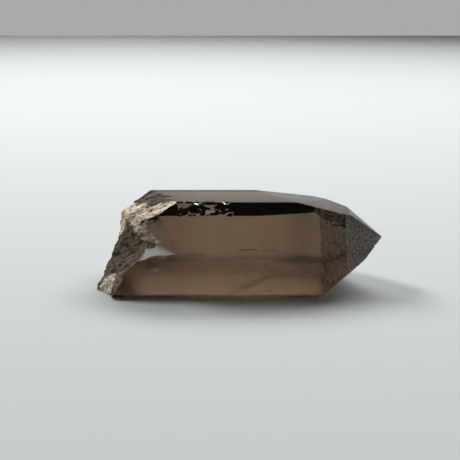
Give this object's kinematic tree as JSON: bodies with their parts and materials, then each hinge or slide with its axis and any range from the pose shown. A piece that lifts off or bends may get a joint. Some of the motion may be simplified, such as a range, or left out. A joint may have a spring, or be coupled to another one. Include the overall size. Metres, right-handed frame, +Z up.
{
  "type": "smoky quartz crystal",
  "caption": "Single smoky quartz crystal lying on a prism face: a see-through brown hexagonal prism with a frosted point at one end and a rough broken base at the other.",
  "frame": {"origin": "on the resting face, under the middle of the crystal's bounding box", "axes": "+X along the crystal towards its point, +Y to its back, +Z up"},
  "size_m": [0.0722, 0.0316, 0.0213],
  "materials": {
    "smoky_quartz": "glossy natural crystal faces, frosted at the point and rough with a pale crust at the break"
  },
  "bodies": {
    "root": {"crystal": "smoky_quartz"}
  },
  "joints": []
}
